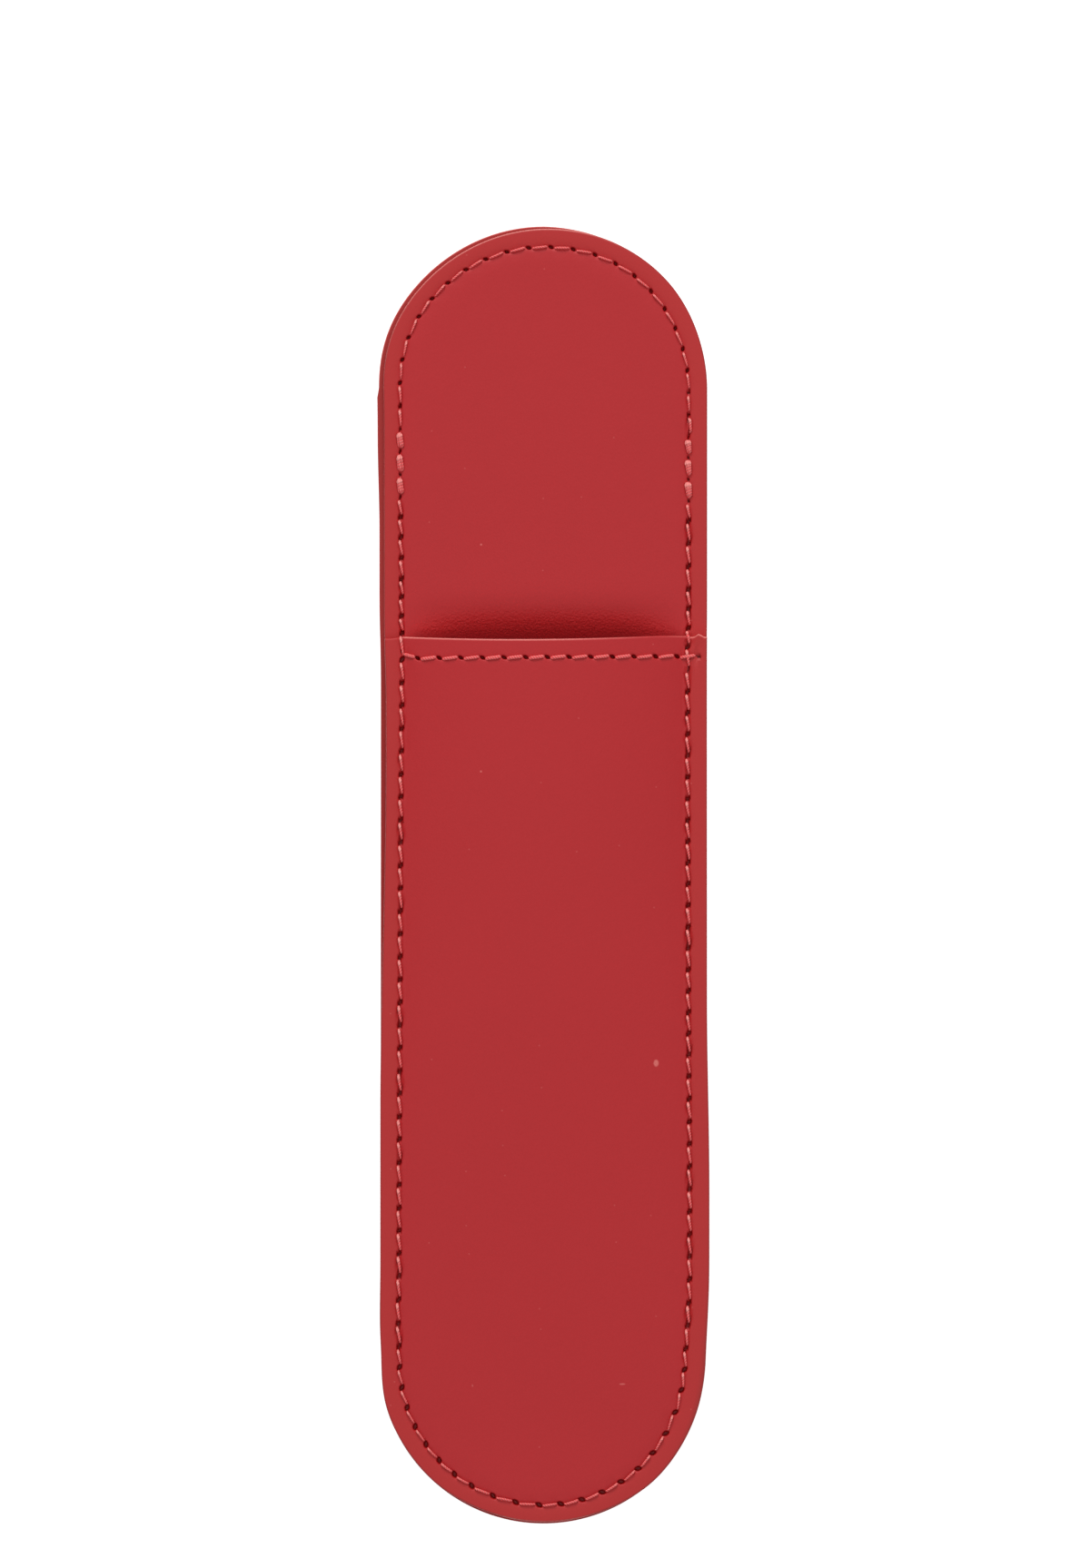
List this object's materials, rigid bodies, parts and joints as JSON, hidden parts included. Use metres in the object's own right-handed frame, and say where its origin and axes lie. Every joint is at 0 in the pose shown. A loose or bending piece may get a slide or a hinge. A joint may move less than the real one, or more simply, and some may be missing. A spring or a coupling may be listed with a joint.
{
  "type": "single pen sleeve",
  "caption": "Flat leather sleeve for one pen: a round-ended back with a tab, and a sewn-on pocket front with a straight open mouth.",
  "frame": {"origin": "middle of the sleeve in X and Y, on the table that it lies on, z = 0", "axes": "+Y runs from the foot up the tab, +Z faces out of the pocket front, +X is to the right seen from the front"},
  "size_m": [0.042, 0.166, 0.0101],
  "materials": {
    "back_leather": "smooth red calf, satin, edges dyed darker",
    "facing_leather": "smooth red calf, satin",
    "lining_leather": "thin smooth red lining leather, matte",
    "pocket_leather": "smooth red calf, satin",
    "seam_thread": "twisted waxed thread, coral"
  },
  "bodies": {
    "root": {"back_panel": "back_leather", "facing_panel": "facing_leather", "pocket_lining": "lining_leather", "pocket_panel": "pocket_leather", "tab_seam_needle_thread": "seam_thread", "tab_seam_bobbin_thread": "seam_thread", "body_seam_needle_thread": "seam_thread", "body_seam_bobbin_thread": "seam_thread", "mouth_seam_needle_thread": "seam_thread", "mouth_seam_bobbin_thread": "seam_thread"}
  },
  "joints": []
}
